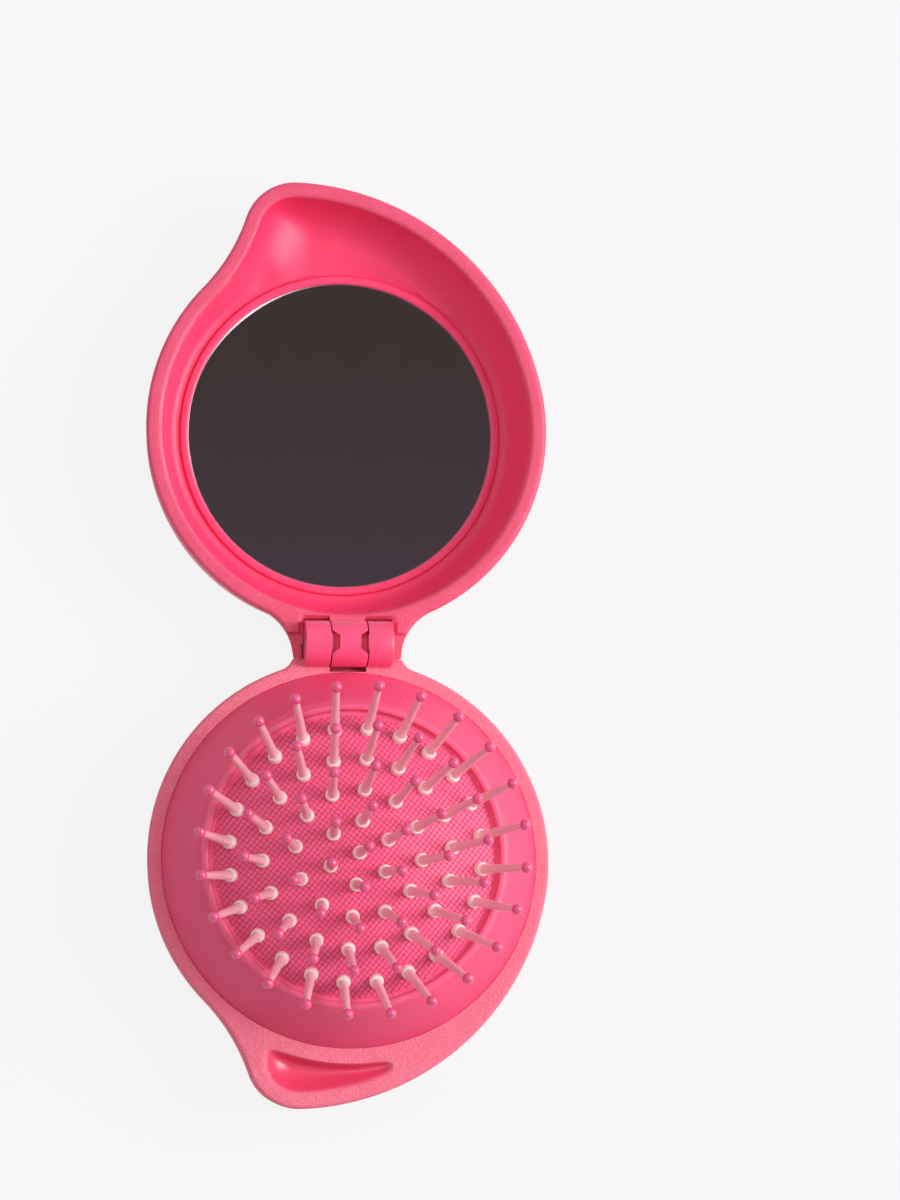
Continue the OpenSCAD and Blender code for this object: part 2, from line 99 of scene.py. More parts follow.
def neckReach(angle, inset, neck):
    # the same for the neck with its two hollow corners, or 0 where the ray misses it
    across, down = abs(toward(angle).x), -toward(angle).y
    if down < case["neckRay"]:
        return 0.0
    cornerX = case["neckHalf"] + neck["fillet"]
    cornerDown = math.sqrt((case["bodyR"] + neck["fillet"]) ** 2 - cornerX ** 2)
    if across * cornerDown >= down * cornerX:
        return 0.0
    side = (case["neckHalf"] - inset) / max(across, 1e-6)
    end = (neck["end"] - inset) / down
    if side * down < cornerDown:
        along = across * cornerX + down * cornerDown
        gap = along ** 2 - cornerX ** 2 - cornerDown ** 2 + (neck["fillet"] + inset) ** 2
        side = along - math.sqrt(gap) if gap >= 0 else 0.0
    return min(side, end)


def caseReach(angle, inset, neck=None):
    reach = bodyReach(angle, inset)
    return max(reach, neckReach(angle, inset, neck)) if neck else reach


def mix(a, b, part):
    return a + (b - a) * part


def clamp(value):
    return min(1, max(0, value))


def ease(part):
    return part * part * (3 - 2 * part)


def fade(value, start, width):
    # 1 up to start, then down to 0 over the width
    return 1 - clamp((value - start) / width)


def bend(start, corner, stop, t):
    # a point on the curve from start to stop that leans towards the corner
    return start * (1 - t) ** 2 + corner * 2 * t * (1 - t) + stop * t ** 2


def drafted(z):
    # how far the moulded walls have drawn in below the rim
    return case["draft"] * max(0.0, case["rimZ"] - case["rimEdge"] - z)


def steps(start, stop, step):
    count = round((stop - start) / step)
    return [start + (stop - start) * i / count for i in range(count)]


def recessStops(start, stop):
    # extra directions close to the ends of the thumb recess, where its outline turns sharply
    shares = (0.001, 0.004, 0.01, 0.02, 0.035, 0.055, 0.08)
    return [mix(start, stop, share) for share in shares] + [mix(stop, start, share) for share in shares]


# directions round a half, with the steps between them small by the neck and the tip
spans = ((-120, -60, 0.4), (-60, 72, 2), (72, 138, 0.75), (138, 240, 2))
outlineAngles = sorted([angle for span in spans for angle in steps(*span)]
                       + recessStops(case["recessFrom"], case["recessTo"]))


def quarter(count):
    return [math.radians(90 * i / count) for i in range(count + 1)]


def addObject(name, data):
    made = bpy.data.objects.new(name, data)
    bpy.context.scene.collection.objects.link(made)
    return made


def addMesh(name, points, faces, smoothAngle=38):
    # one closed mesh from points in millimetres
    mesh = bpy.data.meshes.new(name)
    mesh.from_pydata([Vector(p) * mm for p in points], [], faces)
    made = addObject(name, mesh)
    tidyMesh(made, smoothAngle)
    return made


def addWork(name, work, smoothAngle=38):
    # one closed mesh from a bmesh in metres
    mesh = bpy.data.meshes.new(name)
    work.to_mesh(mesh)
    work.free()
    made = addObject(name, mesh)
    tidyMesh(made, smoothAngle)
    return made


def tidyMesh(made, smoothAngle=38, keepNormals=False):
    # merges doubles, turns the faces outward and marks the edges that stay sharp
    near = 0.0005 * mm
    work = bmesh.new()
    work.from_mesh(made.data)
    bmesh.ops.remove_doubles(work, verts=work.verts, dist=near)
    bmesh.ops.dissolve_degenerate(work, edges=work.edges, dist=near)
    if not keepNormals:
        bmesh.ops.recalc_face_normals(work, faces=work.faces)
    for face in work.faces:
        face.smooth = True
    for edge in work.edges:
        edge.smooth = edge.calc_face_angle(0.0) < math.radians(smoothAngle)
    work.to_mesh(made.data)
    work.free()
    made.data.update()


def loftFaces(ringCount, count, closed):
    faces = []
    for j in range(ringCount if closed else ringCount - 1):
        for i in range(count):
            a, b = j * count + i, j * count + (i + 1) % count
            c = ((j + 1) % ringCount) * count
            faces.append((a, b, c + (i + 1) % count, c + i))
    if not closed:
        faces.append(tuple(range(count))[::-1])
        faces.append(tuple(range((ringCount - 1) * count, ringCount * count)))
    return faces


def loft(name, rings, closed=False, smoothAngle=38):
    points = [p for ring in rings for p in ring]
    return addMesh(name, points, loftFaces(len(rings), len(rings[0]), closed), smoothAngle)


def rounded(corners, sections=4):
    # a closed section: (x, z, radius) corners, with an arc in place of each that has a radius
    section = []
    for i, (x, z, radius) in enumerate(corners):
        here = Vector((x, z))
        before = Vector(corners[i - 1][:2]) - here
        after = Vector(corners[(i + 1) % len(corners)][:2]) - here
        if radius == 0:
            section.append((x, z))
            continue
        opening = before.angle(after)
        reach = min(radius / math.tan(opening / 2), before.length * 0.49, after.length * 0.49)
        start, stop = here + before.normalized() * reach, here + after.normalized() * reach
        section += [tuple(bend(start, here, stop, k / sections)) for k in range(sections + 1)]
    return section


def lathe(name, section, middleY, segments=240, smoothAngle=38, closed=True):
    # a section of (radius, z) points turned round an upright axis, closed or with flat ends
    rings = []
    for radius, z in section:
        rings.append([(radius * math.cos(2 * math.pi * i / segments),
                       middleY + radius * math.sin(2 * math.pi * i / segments), z)
                      for i in range(segments)])
    return loft(name, rings, closed, smoothAngle)


def prism(name, section, lowX, highX, edges=(0, 0)):
    # a (y, z) section drawn along X, with its low and high ends rounded off by edges
    work = bmesh.new()
    low = [work.verts.new(Vector((lowX, y, z)) * mm) for y, z in section]
    high = [work.verts.new(Vector((highX, y, z)) * mm) for y, z in section]
    ends = [work.faces.new(low[::-1]), work.faces.new(high)]
    for i in range(len(section)):
        j = (i + 1) % len(section)
        work.faces.new((low[i], low[j], high[j], high[i]))
    rims = [list(face.edges) for face in ends]
    for rim, edge in zip(rims, edges):
        if edge:
            bmesh.ops.bevel(work, geom=rim, offset=edge * mm, segments=3, profile=0.5,
                            affect="EDGES", clamp_overlap=True)
    return addWork(name, work)


def slab(name, outline, lowZ, highZ):
    # an upright slab from a list of (x, y) corners
    count = len(outline)
    points = [(x, y, lowZ) for x, y in outline] + [(x, y, highZ) for x, y in outline]
    return addMesh(name, points, loftFaces(2, count, False))


def block(name, x, lowY, highY, lowZ, highZ):
    return slab(name, [(-x, lowY), (x, lowY), (x, highY), (-x, highY)], lowZ, highZ)


def meshNow(made):
    # a plain mesh with the modifiers applied
    bpy.context.view_layer.update()
    evaluated = made.evaluated_get(bpy.context.evaluated_depsgraph_get())
    return bpy.data.meshes.new_from_object(evaluated)


def shape(target, tool, operation):
    # joins the tool to the target or cuts it out, and deletes the tool
    change = target.modifiers.new("shape", "BOOLEAN")
    change.operation = operation
    change.solver = "EXACT"
    change.material_mode = "TRANSFER"
    change.object = tool
    mesh = meshNow(target)
    target.modifiers.remove(change)
    old = target.data
    target.data = mesh
    bpy.data.meshes.remove(old)
    bpy.data.objects.remove(tool)
    tidyMesh(target, keepNormals=True)


def paint(piece, material):
    piece.data.materials.clear()
    piece.data.materials.append(material)


def place(piece, body, slot, *nodes):
    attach(piece, body)
    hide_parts(*nodes)


def half(ring, lid):
    # moves a ring of (x, y, z) from the body's middle to the lid, or to the base, mirrored
    if lid:
        return [(x, case["bodyY"] + y, z) for x, y, z in ring]
    return [(x, -case["bodyY"] - y, z) for x, y, z in ring]


def spotAt(angle, reach, z):
    spot = toward(angle) * reach
    return spot.x, spot.y, z


def outlineRing(inset, z, neck=None):
    return [spotAt(angle, caseReach(angle, inset, neck), z) for angle in outlineAngles]


def mixedRing(inset, radius, part, z):
    # part of the way from the outline, set in by inset, to a circle
    return [spotAt(angle, mix(caseReach(angle, inset), radius, part), z) for angle in outlineAngles]


def roundRing(radius, z):
    return [spotAt(angle, radius, z) for angle in outlineAngles]


def emptyTree(owner):
    owner.use_nodes = True
    owner.node_tree.nodes.clear()
    return owner.node_tree


def nodeOf(tree, kind, inputs=None, **settings):
    # inputs holds a value or a socket to link for each input that is set
    node = tree.nodes.new(kind)
    for name, value in settings.items():
        setattr(node, name, value)
    for name, value in (inputs or {}).items():
        if isinstance(value, bpy.types.NodeSocket):
            tree.links.new(value, node.inputs[name])
        else:
            node.inputs[name].default_value = value
    return node


def calc(tree, operation, *values):
    return nodeOf(tree, "ShaderNodeMath", dict(enumerate(values)), operation=operation).outputs[0]


def remap(tree, value, fromMin, fromMax, toMin=0, toMax=1, **settings):
    inputs = {"Value": value, "From Min": fromMin, "From Max": fromMax, "To Min": toMin, "To Max": toMax}
    return nodeOf(tree, "ShaderNodeMapRange", inputs, **settings).outputs["Result"]


def mixColour(tree, factor, a, b):
    # a and b are colours or sockets
    a, b = ((*value, 1) if isinstance(value, tuple) else value for value in (a, b))
    inputs = {"Factor": factor, "A": a, "B": b}
    return nodeOf(tree, "ShaderNodeMix", inputs, data_type="RGBA").outputs["Result"]


# what a look has unless it says otherwise
plainLook = {
    "mottleScale": 180, "mottleDetail": 3, "mottleSpan": (0.3, 0.7), "grainScale": 4000,
    "grainDetail": 2, "grainRoughness": 0.6, "speckSpan": (0.48, 0.64), "glossSpread": 0.08,
    "bump": 0.1, "depth": 0.03, "specular": 0.4, "ior": 1.45, "metallic": 0.0, "coat": 0.0,
    "coatRoughness": 0.3, "subsurface": 0.0, "subsurfaceScale": 1.0,
    "subsurfaceRadius": (1, 0.7, 0.6), "clear": 0.0,
}


def plastic(name, look):
    # moulded plastic or rubber: a grain in the bump, and a faint mottle in colour and gloss
    look = {**plainLook, **look}
    material = bpy.data.materials.new(name)
    tree = emptyTree(material)
    spot = nodeOf(tree, "ShaderNodeTexCoord").outputs["Object"]
    inputs = {"Vector": spot, "Scale": look["mottleScale"], "Detail": look["mottleDetail"]}
    mottle = nodeOf(tree, "ShaderNodeTexNoise", inputs).outputs["Fac"]
    inputs = {"Vector": spot, "Scale": look["grainScale"], "Detail": look["grainDetail"],
              "Roughness": look["grainRoughness"]}
    grain = nodeOf(tree, "ShaderNodeTexNoise", inputs).outputs["Fac"]
    strength = look["bump"]
    colour = mixColour(tree, remap(tree, mottle, *look["mottleSpan"]), look["dark"], look["light"])
    spread = look["roughness"] * look["glossSpread"]
    rough = remap(tree, mottle, *look["mottleSpan"], look["roughness"] - spread,
                  look["roughness"] + spread)
    if "part" in look:
        part = nodeOf(tree, "ShaderNodeAttribute", attribute_name="part").outputs["Fac"]
        colour = mixColour(tree, part, look["part"], colour)
    if "speck" in look:
        # the grain, with its pale specks, is on the marked part only
        share = remap(tree, grain, *look["speckSpan"], 0, look["speck"])
        colour = mixColour(tree, calc(tree, "MULTIPLY", share, part), colour, look["speckColour"])
        strength = calc(tree, "MULTIPLY", part, strength)
    if "partRoughness" in look:
        inputs = {"Factor": part, "A": look["partRoughness"], "B": rough}
        rough = nodeOf(tree, "ShaderNodeMix", inputs, data_type="FLOAT").outputs["Result"]
    inputs = {"Strength": strength, "Distance": look["depth"] * mm, "Height": grain}
    bump = nodeOf(tree, "ShaderNodeBump", inputs)
    surface = nodeOf(tree, "ShaderNodeBsdfPrincipled", {
        "Base Color": colour, "Roughness": rough, "Normal": bump.outputs["Normal"],
        "Specular IOR Level": look["specular"], "IOR": look["ior"], "Metallic": look["metallic"],
        "Coat Weight": look["coat"], "Coat Roughness": look["coatRoughness"],
        "Subsurface Weight": look["subsurface"], "Subsurface Radius": look["subsurfaceRadius"],
        "Subsurface Scale": look["subsurfaceScale"] * mm}).outputs["BSDF"]
    if look["clear"]:
        # clear nylon lets what lies behind it through, less where it is thick
        share = calc(tree, "MULTIPLY_ADD", part, -look["clear"], look["clear"])
        through = nodeOf(tree, "ShaderNodeBsdfTransparent").outputs[0]
        surface = nodeOf(tree, "ShaderNodeMixShader", {0: share, 1: surface, 2: through}).outputs[0]
    nodeOf(tree, "ShaderNodeOutputMaterial", {"Surface": surface})
    return material


def markPart(piece, valueAt):
    # keeps a share from 0 to 1 on each vertex, which the material reads
    kept = piece.data.attributes.new("part", "FLOAT", "POINT")
    for i, vertex in enumerate(piece.data.vertices):
        kept.data[i].value = valueAt(vertex.co / mm)


looks = {
    "shell": {"dark": (0.86, 0.085, 0.19), "light": (0.92, 0.1, 0.215), "roughness": 0.42,
              "bump": 0.08},
    "frame": {"dark": (0.8, 0.112, 0.198), "light": (0.84, 0.137, 0.222), "roughness": 0.6,
              "part": (0.76, 0.048, 0.125), "partRoughness": 0.3, "specular": 0.8, "bump": 1.0,
              "depth": 0.2, "grainScale": 3400, "speck": 0.3, "speckColour": (1.0, 0.33, 0.43)},
    "liner": {"dark": (0.73, 0.056, 0.135), "light": (0.77, 0.068, 0.155), "roughness": 0.45,
              "part": (0.88, 0.04, 0.14), "partRoughness": 0.44, "specular": 0.55, "bump": 0.5,
              "depth": 0.07, "grainScale": 3600, "speck": 0.2, "speckColour": (1.0, 0.22, 0.33)},
    "knuckle": {"dark": (0.82, 0.06, 0.17), "light": (0.87, 0.07, 0.19), "roughness": 0.36,
                "specular": 0.9, "bump": 0.08},
    "bezel": {"dark": (0.88, 0.05, 0.16), "light": (0.93, 0.065, 0.18), "roughness": 0.35,
              "bump": 0.05},
    "membrane": {"dark": (0.78, 0.056, 0.155), "light": (0.83, 0.066, 0.175), "roughness": 0.5,
                 "specular": 0.7, "bump": 0.08},
    "lip": {"dark": (0.82, 0.085, 0.2), "light": (0.87, 0.095, 0.22), "roughness": 0.45,
            "specular": 0.8, "bump": 0.08},
    # the cushion's part colour darkens the grooves between the raised squares: painted shade
    "cushion": {"dark": (0.88, 0.12, 0.265), "light": (0.93, 0.14, 0.295), "roughness": 0.5,
                "specular": 0.5, "part": (0.72, 0.045, 0.15), "bump": 0.1},
    "carrier": {"dark": (0.8, 0.72, 0.69), "light": (0.86, 0.79, 0.76), "roughness": 0.5},
    "button": {"dark": (0.86, 0.085, 0.19), "light": (0.92, 0.1, 0.21), "roughness": 0.42},
    "pin": {"dark": (0.95, 0.72, 0.7), "light": (0.98, 0.77, 0.75), "roughness": 0.3,
            "part": (0.96, 0.42, 0.51), "clear": 0.14, "subsurface": 0.35, "subsurfaceScale": 0.8,
            "bump": 0.03},
    "ball": {"dark": (0.72, 0.045, 0.18), "light": (0.78, 0.055, 0.2), "roughness": 0.4,
             "specular": 0.8, "coat": 0.5, "coatRoughness": 0.18, "bump": 0.03},
    "adhesive": {"dark": (0.74, 0.7, 0.64), "light": (0.8, 0.76, 0.7), "roughness": 0.8,
                 "bump": 0.4, "grainScale": 2200},
    "mirror": {"dark": (0.86, 0.86, 0.87), "light": (0.87, 0.87, 0.88), "roughness": 0.05,
               "metallic": 1.0, "bump": 0.0},
    # the glass's ground edge: its own colour is the dark part colour, and the pale colour laid round the
    # top-left is a painted highlight
    "groundEdgePaintedGlint": {"dark": (0.75, 0.68, 0.72), "light": (0.95, 0.9, 0.94), "roughness": 0.3,
                   "part": (0.3, 0.1, 0.16), "mottleScale": 900, "specular": 0.6, "bump": 0.4,
                   "grainScale": 1500},
    "steel": {"dark": (0.55, 0.55, 0.57), "light": (0.66, 0.66, 0.68), "roughness": 0.3,
              "metallic": 1.0, "bump": 0.1},
}
finish = {name: plastic(name, look) for name, look in looks.items()}
print("materials:", len(finish))


baseShell = {"backR": 29.8, "backEdge": 0.35, "wellOut": 36.3, "wellR": 35.2, "beadZ": 13.85,
             "corner": 0.6}


def backRings():
    drawn = drafted(case["edgeH"])
    return [outlineRing(drawn + (case["edgeW"] - drawn) * (1 - math.sin(f)),
                        case["edgeH"] * (1 - math.cos(f))) for f in quarter(14)]


def seamRings():
    edge, drawn = case["seamEdge"], drafted(case["seamZ"])
    return [outlineRing(drawn, case["seamZ"] - edge), outlineRing(drawn + edge, case["seamZ"]),
            outlineRing(case["wall"], case["seamZ"])]


def makeBaseShell():
    s = baseShell
    rings = [roundRing(s["backR"], case["floor"] - s["backEdge"])]
    rings += [roundRing(s["backR"] + s["backEdge"] * (1 - math.cos(f)),
                        s["backEdge"] * (1 - math.sin(f))) for f in quarter(4)]
    rings += backRings() + seamRings()
    rings += [roundRing(s["wellOut"], case["seamZ"]),
              roundRing(s["wellOut"], s["beadZ"]), roundRing(s["wellR"], s["beadZ"])]
    rings += [roundRing(s["wellR"] - s["corner"] * (1 - math.cos(f)),
                        case["floor"] + s["corner"] * (1 - math.sin(f))) for f in quarter(4)]
    rings += [roundRing(s["backR"] + s["backEdge"], case["floor"])]
    shell = loft("baseShell", [half(ring, False) for ring in rings], closed=True)
    paint(shell, finish["shell"])
    place(shell, "base", "shell_pink", "base_shell")


def makeLidShell():
    hollowW = case["edgeW"] - case["floor"] / 2
    rings = backRings() + seamRings()
    rings += [outlineRing(case["wall"] + hollowW * (1 - math.cos(f)),
                          case["floor"] + (case["edgeH"] - case["floor"]) * (1 - math.sin(f)))
              for f in quarter(12)]
    shell = loft("lidShell", [half(ring, True) for ring in rings])
    paint(shell, finish["shell"])
    place(shell, "lid", "shell_pink", "lid_shell")


makeBaseShell()
makeLidShell()
print("back shells made")

# the gaps keep faces from lying in one plane where shapes are joined or cut
hinge = {
    "barrelR": 4.4, "barrelX": 8.35, "outerX": 3.6, "middleX": 3.4, "pinR": 1.0, "pinSpan": (1, 11),
    "outerEdge": 0.9, "innerEdge": 0.25, "armY": 2.95, "armLong": 5.0, "armBack": 2.75,
    "armTurn": -1.95, "slotX": 3.5, "slotR": 4.9, "slotDeep": 5.3, "sideX": 8.47, "sideEdge": 0.3,
    "ridge": 0.17, "ridgeHalf": 1.5, "ridgeEdge": 0.2, "ridgeRoot": 1.0, "keyZ": 19.2,
    "notchDeep": 1.4, "notchLong": 4.5, "notchFlank": 1.0, "notchPast": 1.0, "notchTop": 25.0,
    "earX": 8.9, "earY": 2.15, "earDrop": 1.2, "ledge": 1.9, "corner": 1.3,
    "lead": 0.6, "leadBelow": 0.15, "leadAbove": 0.3, "cutBack": -6.0, "cutHalf": 14.0,
    "cutTop": 30.0, "seamGap": 0.05, "neckGap": 0.03, "rimGap": 0.01, "sideGap": 0.06,
    "leadGap": 0.01, "throatGap": 0.03,
}


def barrelArc(fromAngle, toAngle, count=56):
    angles = [math.radians(mix(fromAngle, toAngle, i / count)) for i in range(count + 1)]
    r = hinge["barrelR"]
    return [(r * math.cos(angle), case["hingeZ"] + r * math.sin(angle)) for angle in angles]


def bore(r, count=64):
    # a circle round the hinge's axis
    turns = [2 * math.pi * i / count for i in range(count)]
    return [(r * math.cos(turn), case["hingeZ"] + r * math.sin(turn)) for turn in turns]


def onSide(sign, near, far, nearEdge=0, farEdge=0):
    # the low and high X and the end edges of a prism to the left or right of the middle
    if sign < 0:
        return -far, -near, (farEdge, nearEdge)
    return near, far, (nearEdge, farEdge)


def outerKnuckles():
    # the base's two knuckles, each with its arm and its click ridge, and a hole for the pin
    h = hinge
    start = -math.degrees(math.acos(h["armY"] / h["barrelR"]))
    section = barrelArc(start, 270) + [(0, case["neckZ"]), (h["armY"], case["neckZ"])]
    section = [(-y, z) for y, z in reversed(section)]
    side = math.degrees(math.acos(h["ridgeHalf"] / h["barrelR"]))
    ridge = barrelArc(side, 180 - side, 12) + [(-h["ridgeHalf"], h["keyZ"]), (h["ridgeHalf"], h["keyZ"])]
    made = []
    for sign in (-1, 1):
        span = onSide(sign, h["outerX"], h["barrelX"], h["innerEdge"], h["outerEdge"])
        knuckle = prism("knuckle", section, *span)
        paint(knuckle, finish["knuckle"])
        span = onSide(sign, h["outerX"] - h["ridge"], h["outerX"] + h["ridgeRoot"], h["ridgeEdge"])
        shape(knuckle, prism("ridge", ridge, *span), "UNION")
        shape(knuckle, prism("hole", bore(h["pinR"], 32), *onSide(sign, *h["pinSpan"])), "DIFFERENCE")
        made.append(knuckle)
    return made


def middleKnuckle():
    # the lid's knuckle, with a click notch across the top of each end
    h = hinge
    seam, low = case["seamZ"] - h["seamGap"], case["neckZ"] + h["neckGap"]
    section = [(h["armLong"], case["rimZ"] - h["rimGap"])] + barrelArc(h["armTurn"], 270)
    section += [(0, low), (h["armBack"], low), (h["armBack"], seam), (h["armLong"], seam)]
    knuckle = prism("knuckle", section, -h["middleX"], h["middleX"], (h["innerEdge"],) * 2)
    paint(knuckle, finish["knuckle"])
    for sign in (-1, 1):
        x, deep = sign * h["middleX"], sign * (h["middleX"] - h["notchDeep"])
        long, past, flank = h["notchLong"] / 2, h["notchPast"], h["notchFlank"]
        notch = [(x + sign * past, -long - past), (x, -long), (deep, flank - long),
                 (deep, long - flank), (x, long), (x + sign * past, long + past)]
        shape(knuckle, slab("notch", notch, h["keyZ"], h["notchTop"]), "DIFFERENCE")
    return knuckle


lidNeck = {"fillet": 9.7, "end": 43.8}
baseNeck = {"fillet": 3.2, "end": 38.15}


def skirtRings(neck):
    # from the seam's inner corner out under the neck and up to the start of the rim's rounding
    inner, under, edgeLow, edgeHigh = [], [], [], []
    for angle in outlineAngles:
        d = toward(angle)
        isNeck = neckReach(angle, 0, neck) > case["bodyR"] + hair
        bottom, edge = case["seamZ"], case["seamEdge"]
        if isNeck:
            bottom, edge = case["neckZ"], case["neckEdge"]
        back = bodyReach(angle, drafted(case["seamZ"]) + edge)
        inner.append((d.x * back, d.y * back, case["seamZ"]))
        drawn = drafted(bottom)
        back = bodyReach(angle, drawn + edge)
        under.append((d.x * back, d.y * back, bottom))
        upright = {"fillet": neck["fillet"], "end": neck["end"] + drawn}
        reach = max(back, caseReach(angle, drawn + edge, upright))
        edgeLow.append((d.x * reach, d.y * reach, bottom))
        reach = max(back, caseReach(angle, drawn, upright))
        edgeHigh.append((d.x * reach, d.y * reach, bottom + edge))
    return [inner, under, edgeLow, edgeHigh]


def rimRings(neck):
    return [outlineRing(case["rimEdge"] * (1 - math.cos(f)),
                        case["rimZ"] - case["rimEdge"] * (1 - math.sin(f)), neck)
            for f in quarter(6)]


dish = {
    "wallW": 7.0, "hookW": 17.0, "hookSide": 90.0, "tipW": 22.0, "tipFrom": 90.0, "tipSpan": 18.0,
    "soft": 0.16, "softSpan": 12.0, "floorZ": 6.5, "floorRate": 3.0, "rimW": 2.9, "innerEdge": 0.7,
    "backR": 32.1, "backZ": 2.5, "backInset": 0.1, "endR": 30.95, "endZ": 6.0, "holeR": 30.62,
    "holeEdge": ((0.05, 0.06), (0.0, 0.15)), "seatZ": 3.9,
    "markInset": 0.1, "markFrom": 0.3, "markFade": 0.4,
}


def bowl(share):
    return math.sqrt(1 - (1 - clamp(share)) ** 2)


def dishDepth(angle, reach, start):
    # share of the dish's depth: steep along the sweep, with a long slope up to the hook
    s, span = dish, start - dish["endR"]
    depth = bowl((start - reach) / min(s["wallW"], span))
    left = case["hookAngle"] - angle
    if not 0 < left < s["hookSide"]:
        return depth
    fromHook = (toward(angle) * reach - hookC).length - case["hookR"] - s["rimW"]
    hook = bowl(fromHook / min(s["hookW"], span))
    # the smaller of the two, with their meeting rounded
    soft = s["soft"] * min(1, left / s["softSpan"])
    near = max(0, soft - abs(depth - hook)) / soft
    return max(0, min(depth, hook) - near * near * soft / 4)


def dishRing(part):
    # a ring of the dish's wall, part of the way in
    s, ring = dish, []
    top = case["rimZ"] - s["innerEdge"]
    for angle in outlineAngles:
        start = bodyReach(angle, s["rimW"])
        span = start - s["endR"]
        wide = mix(s["wallW"], s["tipW"], ease(clamp((angle - s["tipFrom"]) / s["tipSpan"])))
        low = mix(s["endZ"], s["floorZ"], clamp(s["floorRate"] * (1 - wide / span)))
        reach = start - part * min(wide, span - hair)
        ring.append(spotAt(angle, reach, top - (top - low) * dishDepth(angle, reach, start)))
    return ring


def cutPocket(front, sign):
    # the clearance round one outer knuckle, and the lead-in above it
    h, inX = hinge, hinge["middleX"]
    span = onSide(sign, inX - h["sideGap"], h["sideX"], 0, h["sideEdge"])
    shape(front, prism("clearance", bore(h["slotR"]), *span), "DIFFERENCE")
    rings = []
    for out, z in ((-h["leadBelow"], case["rimZ"] - h["lead"] - h["leadBelow"]),
                   (h["lead"] + h["leadAbove"], case["rimZ"] + h["leadAbove"])):
        near, far, end = sign * (inX + h["leadGap"]), h["earX"] + out, h["slotR"] + out
        corner = [(sign * (far - h["corner"] * (1 - math.cos(f))),
                   end - h["corner"] * (1 - math.sin(f)), z) for f in quarter(6)]
        rings.append([(near, h["cutBack"], z), (sign * far, h["cutBack"], z)] + corner + [(near, end, z)])
    shape(front, loft("lead", rings), "DIFFERENCE")


def makeLidFront():
    h, s = hinge, dish
    rings = [mixedRing(case["wall"] + s["backInset"], s["backR"], 1 - math.cos(f),
                       case["seamZ"] - (case["seamZ"] - s["backZ"]) * math.sin(f))
             for f in reversed(quarter(10))]
    rings += skirtRings(lidNeck) + rimRings(lidNeck)
    edge = s["innerEdge"]
    rings += [outlineRing(s["rimW"] - edge + edge * math.sin(f), case["rimZ"] - edge * (1 - math.cos(f)))
              for f in quarter(5)]
    rings += [dishRing(1 - math.cos(f)) for f in quarter(30)[1:]]
    rings += [roundRing(s["endR"], s["endZ"] + hair)]
    rings += [roundRing(s["holeR"] + out, s["endZ"] - down) for out, down in s["holeEdge"]]
    rings += [roundRing(s["holeR"], s["seatZ"])]
    front = loft("lidFront", [half(ring, True) for ring in rings])
    paint(front, finish["liner"])
    for sign in (-1, 1):
        cutPocket(front, sign)
    back, top = h["cutBack"], h["cutTop"]
    for x, z in ((h["sideX"] + h["throatGap"], 0), (h["earX"], case["rimZ"] - h["ledge"])):
        shape(front, block("throat", x, back, hair, z, top), "DIFFERENCE")
    ears = block("ears", h["cutHalf"], back, h["earY"], case["rimZ"] - h["earDrop"], top)
    shape(front, ears, "DIFFERENCE")
    shape(front, middleKnuckle(), "UNION")

    def isRim(spot):
        # 1 on the grained rim, neck and outside, 0 down in the smooth dish
        fromMiddle = Vector((spot.x, spot.y - case["bodyY"]))
        angle = polarAngle(fromMiddle)
        angle = angle + 360 if angle < outlineAngles[0] else angle
        inside = bodyReach(angle, s["rimW"] - s["markInset"]) - fromMiddle.length
        return fade(case["rimZ"] - spot.z, s["markFrom"], s["markFade"]) if inside > 0 else 1

    markPart(front, isRim)
    place(front, "lid", "liner_pink", "lid_liner")


makeLidFront()
print("lid front made")

mirror = {"glassR": 28.98, "backZ": 4.2, "faceZ": 5.8, "bevel": 0.08, "edgeUp": 0.12,
          "glint": 0.4, "glintAt": 127.0, "glintWide": 20.0,
          "ringIn": 29.05, "ringOut": 30.6, "ringZ": 6.6, "ringEdge": 0.5}


def makeMirror():
    m = mirror

    def glintAt(angle):
        return math.exp(-((angle - m["glintAt"]) / m["glintWide"]) ** 2)

    face = [spotAt(angle, m["glassR"] - mix(m["bevel"], m["glint"], glintAt(angle)), m["faceZ"])
            for angle in outlineAngles]
    rings = [roundRing(m["glassR"], m["backZ"]), roundRing(m["glassR"], m["faceZ"] + m["edgeUp"]), face]
    glass = loft("mirrorGlass", [half(ring, True) for ring in rings], smoothAngle=5)
    paint(glass, finish["mirror"])
    middle = Vector((0, case["bodyY"]))
    # the edge's colour turns pale round glintAt: a painted highlight on the top-left of the ground edge
    markPart(glass, lambda spot: glintAt(polarAngle(spot.xy - middle)))
    glass.data.materials.append(finish["groundEdgePaintedGlint"])
    for side in glass.data.polygons:
        side.material_index = int(len(side.vertices) == 4)
    place(glass, "lid", "mirror_silver", "mirror_glass")
    section = rounded([(m["ringIn"], dish["seatZ"], 0), (m["ringOut"], dish["seatZ"], 0),
                       (m["ringOut"], m["ringZ"], m["ringEdge"]), (m["ringIn"], m["ringZ"], m["ringEdge"])])
    bezel = lathe("mirrorBezel", section, case["bodyY"])
    paint(bezel, finish["bezel"])
    place(bezel, "lid", "bezel_pink", "mirror_bezel")


makeMirror()
print("mirror made")

